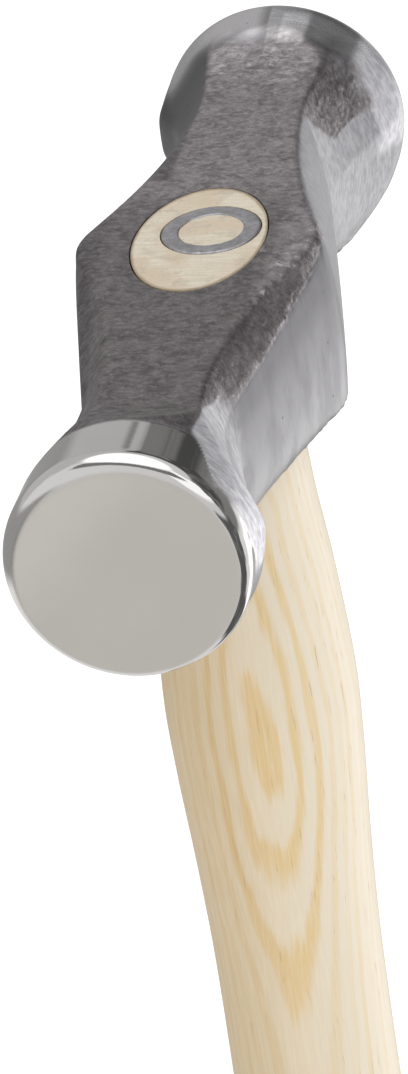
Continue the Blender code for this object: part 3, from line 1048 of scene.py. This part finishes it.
def side_grain(tree, place):
    """Soft tan bands on cream, darker and redder towards -X with painted shade, with pores along the
    grain.
    Gives colour, roughness, height."""
    phase = ring_phase(tree, place)
    wave = calc(tree, "COSINE", product(tree, phase, 2 * math.pi))
    streaks = stretched_noise(tree, place, (1.0, 1.0, 0.03), 1.1, 4.0, 0.6)
    fibres = stretched_noise(tree, place, (1.0, 1.0, 0.02), 4.5, 2.0)
    cloud = stretched_noise(tree, place, (0.05, 0.05, 0.016), 1.0, 2.0)
    streaky = product(tree, calc(tree, "SUBTRACT", streaks, 0.5), 2.6)
    band_share = remap(tree, calc(tree, "ADD", wave, streaky), -0.55, 0.95)

    inputs = {"W": phase, "Scale": 0.9, "Detail": 1.0}
    moods = node(tree, "ShaderNodeTexNoise", inputs, noise_dimensions="1D").outputs["Fac"]
    strength = product(tree, remap(tree, cloud, 0.3, 0.7, 0.75, 1.0),
                       remap(tree, moods, 0.36, 0.58, 0.30, 1.0),
                       remap(tree, phase, 2.0, 4.4, 1.0, 0.5))
    strength = blend_value(tree, remap(tree, phase, 0.6, 1.3), 1.0, strength)
    x = parts_of(tree, place)[0]
    # Painted shade: darker and redder towards -X, paler towards +X
    painted_light_share = remap(tree, calc(tree, "ADD", x, product(tree, cloud, 4.0)), -9.0, 14.0)
    cream = blend(tree, painted_light_share, *CREAM_SHADED_AND_LIT)
    tan = blend(tree, painted_light_share, *TAN_SHADED_AND_LIT)
    colour = blend(tree, product(tree, band_share, strength), cream, tan)
    colour = tint(tree, colour, fibres, 0.40, 0.72, 0.14, FIBRE_COLOUR)

    pore_noise = stretched_noise(tree, place, (1.0, 1.0, 0.05), 2.6, 2.0, 0.6)
    in_bands = remap(tree, band_share, 0.0, 0.8, 0.15, 1.0)
    pores = product(tree, remap(tree, pore_noise, 0.37, 0.28), in_bands)
    colour = blend(tree, product(tree, pores, 0.55), colour, PORE_COLOUR)
    height = calc(tree, "SUBTRACT", product(tree, fibres, 0.25), product(tree, pores, 0.8))
    return colour, remap(tree, streaks, 0.3, 0.7, 0.36, 0.50), height


def end_grain(tree, place):
    """Fine lines, specks and smudges, with painted shade darkening the tenon's outline by the steel. Gives
    colour, height.
    """
    specks = stretched_noise(tree, place, (1.0, 1.4, 1.0), 1.9, 3.0, 0.7)
    lines = stretched_noise(tree, place, (0.12, 1.6, 1.0), 1.0, 3.0, 0.6, 0.3)
    smudges = noise_texture(tree, place, 0.34, 4.0, 0.65)
    patches = noise_texture(tree, place, 0.16, 2.0, 0.5)
    colour = blend(tree, remap(tree, lines, 0.35, 0.65), *END_COLOURS)
    colour = tint(tree, colour, patches, 0.40, 0.62, 1.0, END_PATCH)
    pale_lines = product(tree, remap(tree, lines, 0.52, 0.70), remap(tree, patches, 0.55, 0.40), 0.6)
    colour = blend(tree, pale_lines, colour, END_LINE)
    colour = tint(tree, colour, smudges, 0.52, 0.30, 0.55, END_SMUDGE)
    colour = tint(tree, colour, specks, 0.44, 0.32, 0.5, END_SPECK)
    # Painted shade along the tenon's outline, where it meets the steel
    x, y, _ = parts_of(tree, place)
    across = calc(tree, "DIVIDE", x, EYE_HALF_WIDTH)
    along = calc(tree, "DIVIDE", y, EYE_HALF_DEPTH)
    squares = calc(tree, "ADD", product(tree, across, across), product(tree, along, along))
    outwards = calc(tree, "ADD", calc(tree, "SQRT", squares), product(tree, smudges, 0.06))
    return tint(tree, colour, outwards, 0.965, 1.02, 0.85, END_GAP_SHADE), specks


def wood_material():
    """Lacquered ash, with end grain on the tenon's end and the butt."""
    material, tree, shader = new_material("ash_wood_finish")
    place = millimetres(tree)
    side_colour, rough, side_height = side_grain(tree, place)
    end_colour, end_height = end_grain(tree, place)
    normal = tree.nodes.new("ShaderNodeNewGeometry").outputs["Normal"]
    on_end = remap(tree, calc(tree, "ABSOLUTE", parts_of(tree, normal)[2]), 0.80, 0.95)
    height = blend_value(tree, on_end, side_height, end_height)
    plug_all(tree, shader, {
        "Base Color": blend(tree, on_end, side_colour, end_colour),
        "Roughness": rough,
        "Coat Weight": 0.15,
        "Coat Roughness": 0.32,
        "Normal": bump(tree, height, 0.06, 0.6),
    })
    return material


def ring_material():
    """Bare rolled steel with driving marks and dark oxide in the hollows."""
    material, tree, shader = new_material("wedge_steel_finish")
    place = millimetres(tree)
    marks = noise_texture(tree, place, 1.1, 4.0, 0.6, 0.4)
    blotches = noise_texture(tree, place, 0.35, 2.0)
    colour = blend(tree, remap(tree, marks, 0.35, 0.65), *WEDGE_COLOURS)
    colour = tint(tree, colour, blotches, 0.62, 0.36, 0.3, WEDGE_OXIDE)
    plug_all(tree, shader, {
        "Base Color": colour,
        "Metallic": 1.0,
        "Roughness": remap(tree, marks, 0.3, 0.7, 0.50, 0.34),
        "Normal": bump(tree, marks, 0.08),
    })
    return material


# Floor, light and camera


FLOOR_HALF_SIDE = 4.0
FLOOR_GLOW = 0.35
DOME_RADIUS = 0.26
WORLD_LIGHT = (0.62, 1.0)
WORLD_LIGHT_FROM_RIGHT = 0.28

# What the steel mirrors: patches painted on the studio's walls, in this order. Azimuth from +Y
# towards +X and elevation of each one's middle, its half sizes and how soft its edges are, all in
# degrees, and its brightness. The walls' own brightness is the lower one and the upper one.
WALL_LIGHT = (0.95, 0.80)
PATCHES = (
    (-40.0, 20.0, 46.0, 30.0, 12.0, 0.56),
    (-80.0, -12.0, 62.0, 13.0, 9.0, 0.36),
    (2.0, -36.0, 24.0, 10.0, 8.0, 0.50),
    (46.0, 25.0, 47.0, 16.0, 5.0, 0.08),
    (60.0, 3.0, 34.0, 7.0, 6.0, 0.26),
    (110.0, -30.0, 26.0, 34.0, 7.0, 0.12),
    (70.0, -58.0, 42.0, 9.0, 7.0, 0.12),
    (34.0, -30.0, 17.0, 14.0, 4.0, 1.60),
    (122.0, 40.0, 22.0, 14.0, 8.0, 1.40),
    (-60.0, 84.0, 180.0, 22.0, 6.0, 1.50),
    (180.0, 50.0, 62.0, 5.0, 4.0, 0.22),
)
RIPPLE_DEG = 5.0
CLOUD_LIGHT = (0.05, 0.24)

# The camera: its direction from the hammer and its roll in degrees, the point it looks at in
# millimetres from the middle of the eye, its distance in metres and its focal length
CAMERA_AZIMUTH_DEG = 13.68
CAMERA_ELEVATION_DEG = 27.965
CAMERA_ROLL_DEG = 8.41
CAMERA_AIM = (-4.87, -2.87, -32.99)
CAMERA_SHIFT = (-0.11, 0.28)
CAMERA_DISTANCE = 1.88671
CAMERA_LENS_MM = 441.75
CAMERA_REACH = 50.0


def make_floor():
    """A plain pale floor that glows a little, so that it shows no dark edge."""
    side = FLOOR_HALF_SIDE
    mesh = bpy.data.meshes.new("floor")
    corners = [(-side, -side, 0), (side, -side, 0), (side, side, 0), (-side, side, 0)]
    mesh.from_pydata(corners, [], [(0, 1, 2, 3)])
    floor = add_object("floor", mesh)
    material, tree, shader = new_material("floor_paper")
    plug_all(tree, shader, {
        "Base Color": grey(0.93),
        "Roughness": 0.7,
        "Emission Color": WHITE,
        "Emission Strength": FLOOR_GLOW,
    })
    mesh.materials.append(material)


def patch_share(tree, azimuth, elevation, patch):
    """1 inside a patch of the studio's walls, 0 outside it."""
    middle_az, middle_el, half_az, half_el, soft, _ = patch
    turned = calc(tree, "WRAP", calc(tree, "SUBTRACT", azimuth, middle_az), 180.0, -180.0)
    off_az = calc(tree, "ABSOLUTE", turned)
    off_el = calc(tree, "ABSOLUTE", calc(tree, "SUBTRACT", elevation, middle_el))
    return product(tree, remap(tree, off_az, half_az + soft, half_az),
                   remap(tree, off_el, half_el + soft, half_el))


def mirrored_light(tree, direction):
    """Brightness of the studio in a direction, as the polished steel sees it."""
    x, y, z = parts_of(tree, direction)
    azimuth = calc(tree, "DEGREES", calc(tree, "ARCTAN2", x, y))
    elevation = calc(tree, "DEGREES", calc(tree, "ARCSINE", z))
    ripple = noise_texture(tree, direction, 6.0, 3.0)
    azimuth = calc(tree, "ADD", azimuth, remap(tree, ripple, 0.3, 0.7, -RIPPLE_DEG, RIPPLE_DEG))
    light = remap(tree, elevation, -12.0, 2.0, *WALL_LIGHT)
    for patch in PATCHES:
        light = blend_value(tree, patch_share(tree, azimuth, elevation, patch), light, patch[5])
    clouds = noise_texture(tree, direction, 5.0, 3.0, 0.6)
    return calc(tree, "MAXIMUM", light, remap(tree, clouds, 0.46, 0.68, *CLOUD_LIGHT))


def make_world():
    """Soft light from all round, a little more from above and from +X. The camera sees it as white."""
    world = bpy.data.worlds.new("studio")
    world.use_nodes = True
    bpy.context.scene.world = world
    tree = world.node_tree
    x, _, z = parts_of(tree, tree.nodes.new("ShaderNodeTexCoord").outputs["Generated"])
    light = remap(tree, z, -0.1, 1.0, *WORLD_LIGHT)
    light = calc(tree, "ADD", light, product(tree, x, WORLD_LIGHT_FROM_RIGHT))
    seen = tree.nodes.new("ShaderNodeLightPath").outputs["Is Camera Ray"]
    background = tree.nodes["Background"]
    plug(tree, background.inputs["Color"], WHITE)
    plug(tree, background.inputs["Strength"], blend_value(tree, seen, light, 1.0))


def dome_material():
    """Glows inwards with the studio's light, and is clear from outside."""
    material = bpy.data.materials.new("reflection_dome")
    material.use_nodes = True
    tree = material.node_tree
    geometry = tree.nodes.new("ShaderNodeNewGeometry").outputs
    inputs = {0: geometry["Incoming"], "Scale": -1.0}
    outward = node(tree, "ShaderNodeVectorMath", inputs, operation="SCALE").outputs[0]
    inputs = {"Color": (1.0, 0.99, 0.98, 1.0), "Strength": mirrored_light(tree, outward)}
    glow = node(tree, "ShaderNodeEmission", inputs).outputs[0]
    clear = tree.nodes.new("ShaderNodeBsdfTransparent").outputs[0]
    shown = node(tree, "ShaderNodeMixShader", {0: geometry["Backfacing"], 1: clear, 2: glow})
    tree.links.new(shown.outputs[0], tree.nodes["Material Output"].inputs["Surface"])
    return material


def make_dome():
    """A dome round the head that only its reflections see, lit like a studio with dark and light walls."""
    mesh = bpy.data.meshes.new("reflection_dome")
    shape = bmesh.new()
    bmesh.ops.create_icosphere(shape, subdivisions=4, radius=DOME_RADIUS)
    shape.to_mesh(mesh)
    shape.free()
    mesh.materials.append(dome_material())
    dome = add_object("reflection_dome", mesh)
    dome.location = AXIS_PLACE * MM
    dome.visible_camera = False
    dome.visible_diffuse = False
    dome.visible_shadow = False
    dome.visible_transmission = False


def make_camera():
    """A long lens at the photograph's view: in front, a little to the right and above."""
    azimuth = math.radians(CAMERA_AZIMUTH_DEG)
    elevation = math.radians(CAMERA_ELEVATION_DEG)
    roll = math.radians(CAMERA_ROLL_DEG)
    ahead = math.cos(elevation)
    back = Vector((math.sin(azimuth) * ahead, -math.cos(azimuth) * ahead, math.sin(elevation)))
    level_right = Vector((math.cos(azimuth), math.sin(azimuth), 0))
    level_up = back.cross(level_right)
    right = level_right * math.cos(roll) - level_up * math.sin(roll)
    up = level_right * math.sin(roll) + level_up * math.cos(roll)
    aim = AXIS_PLACE + Vector(CAMERA_AIM) + right * CAMERA_SHIFT[0] + up * CAMERA_SHIFT[1]
    place = aim * MM + back * CAMERA_DISTANCE
    columns = (right, up, back, place)
    camera = add_object("camera", bpy.data.cameras.new("camera"))
    camera.matrix_world = Matrix([[column[i] for column in columns] for i in range(3)] + [[0, 0, 0, 1]])
    camera.data.lens = CAMERA_LENS_MM
    camera.data.clip_end = CAMERA_REACH
    bpy.context.scene.camera = camera


make_head()
make_handle()
make_ring()
make_floor()
make_world()
make_dome()
make_camera()
bpy.context.scene.view_settings.view_transform = "Standard"
